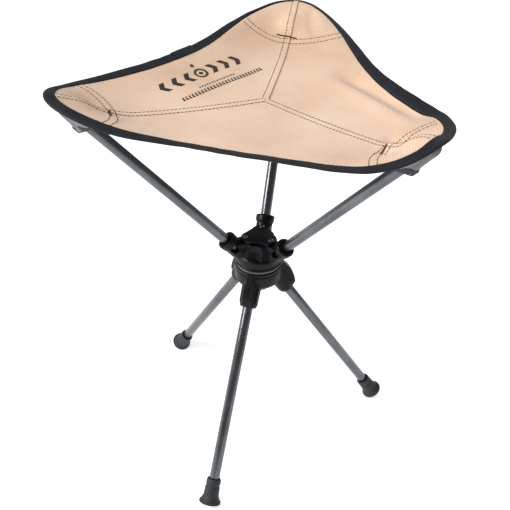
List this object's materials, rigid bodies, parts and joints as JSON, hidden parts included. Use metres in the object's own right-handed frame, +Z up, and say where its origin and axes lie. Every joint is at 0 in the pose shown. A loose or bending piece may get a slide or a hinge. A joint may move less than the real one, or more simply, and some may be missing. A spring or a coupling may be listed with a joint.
{
  "type": "folding stool",
  "caption": "Three leg camping stool with a cloth sling seat on three poles and a swivelling two-part hub.",
  "frame": {"origin": "on the floor, at the centre of the stool's outline; the swivel axis is 18.1 mm from it towards -Y", "axes": "+Z up, +Y towards the seat corner that rises at the back"},
  "size_m": [0.3502, 0.3538, 0.4403],
  "materials": {
    "anodised_tube": "satin gunmetal anodised tube",
    "hub_plastic": "black moulded nylon, lightly textured",
    "bearing_plastic": "grey low-friction plastic",
    "insert_plastic": "black moulded insert",
    "tip_plastic": "black moulded cap",
    "steel_fastener": "zinc plated steel",
    "foot_rubber": "dark moulded rubber",
    "elastic_cord": "braided elastic cord",
    "seat_cloth": "light tan coated polyester oxford weave",
    "pocket_cloth": "grey coated polyester weave",
    "edge_tape": "black woven binding tape"
  },
  "bodies": {
    "base": {"lower_hub": "hub_plastic", "slide_ring": "bearing_plastic", "pivot_bolt": "steel_fastener", "top_washer": "steel_fastener", "bottom_washer": "steel_fastener", "lock_nut": "steel_fastener"},
    "leg_1": {"leg_tube_1": "anodised_tube", "leg_ferrule_1": "insert_plastic", "leg_plug_1": "insert_plastic", "leg_cord_1": "elastic_cord", "rubber_foot_1": "foot_rubber"},
    "leg_2": {"leg_tube_2": "anodised_tube", "leg_ferrule_2": "insert_plastic", "leg_plug_2": "insert_plastic", "leg_cord_2": "elastic_cord", "rubber_foot_2": "foot_rubber"},
    "leg_3": {"leg_tube_3": "anodised_tube", "leg_ferrule_3": "insert_plastic", "leg_plug_3": "insert_plastic", "leg_cord_3": "elastic_cord", "rubber_foot_3": "foot_rubber"},
    "seat_frame": {"upper_hub": "hub_plastic", "pivot_bush": "bearing_plastic", "hub_top_plate": "hub_plastic", "plate_screw_1": "steel_fastener", "pole_tube_1": "anodised_tube", "pole_ferrule_1": "insert_plastic", "pole_plug_1": "insert_plastic", "pole_cord_1": "elastic_cord", "pole_tip_1": "tip_plastic", "seat_panel_1": "seat_cloth", "corner_pocket_1": "pocket_cloth", "pocket_hem_1": "edge_tape", "plate_screw_2": "steel_fastener", "pole_tube_2": "anodised_tube", "pole_ferrule_2": "insert_plastic", "pole_plug_2": "insert_plastic", "pole_cord_2": "elastic_cord", "pole_tip_2": "tip_plastic", "seat_panel_2": "seat_cloth", "corner_pocket_2": "pocket_cloth", "pocket_hem_2": "edge_tape", "plate_screw_3": "steel_fastener", "pole_tube_3": "anodised_tube", "pole_ferrule_3": "insert_plastic", "pole_plug_3": "insert_plastic", "pole_cord_3": "elastic_cord", "pole_tip_3": "tip_plastic", "seat_panel_3": "seat_cloth", "corner_pocket_3": "pocket_cloth", "pocket_hem_3": "edge_tape", "seat_binding": "edge_tape"}
  },
  "joints": [
    {"name": "seat_swivel", "type": "hinge", "parent": "base", "child": "seat_frame", "pos_m": [0, -0.01813, 0.2265], "axis": [0, 0, 1], "continuous": true},
    {"name": "leg_1_pull", "type": "slide", "parent": "base", "child": "leg_1", "axis": [-0.0737, -0.5381, -0.8396], "range_m": [0, 0.042], "stiffness_N_per_m": 150, "springref_m": -0.05},
    {"name": "leg_2_pull", "type": "slide", "parent": "base", "child": "leg_2", "axis": [0.5029, 0.2052, -0.8396], "range_m": [0, 0.042], "stiffness_N_per_m": 150, "springref_m": -0.05},
    {"name": "leg_3_pull", "type": "slide", "parent": "base", "child": "leg_3", "axis": [-0.4292, 0.3329, -0.8396], "range_m": [0, 0.042], "stiffness_N_per_m": 150, "springref_m": -0.05}
  ]
}
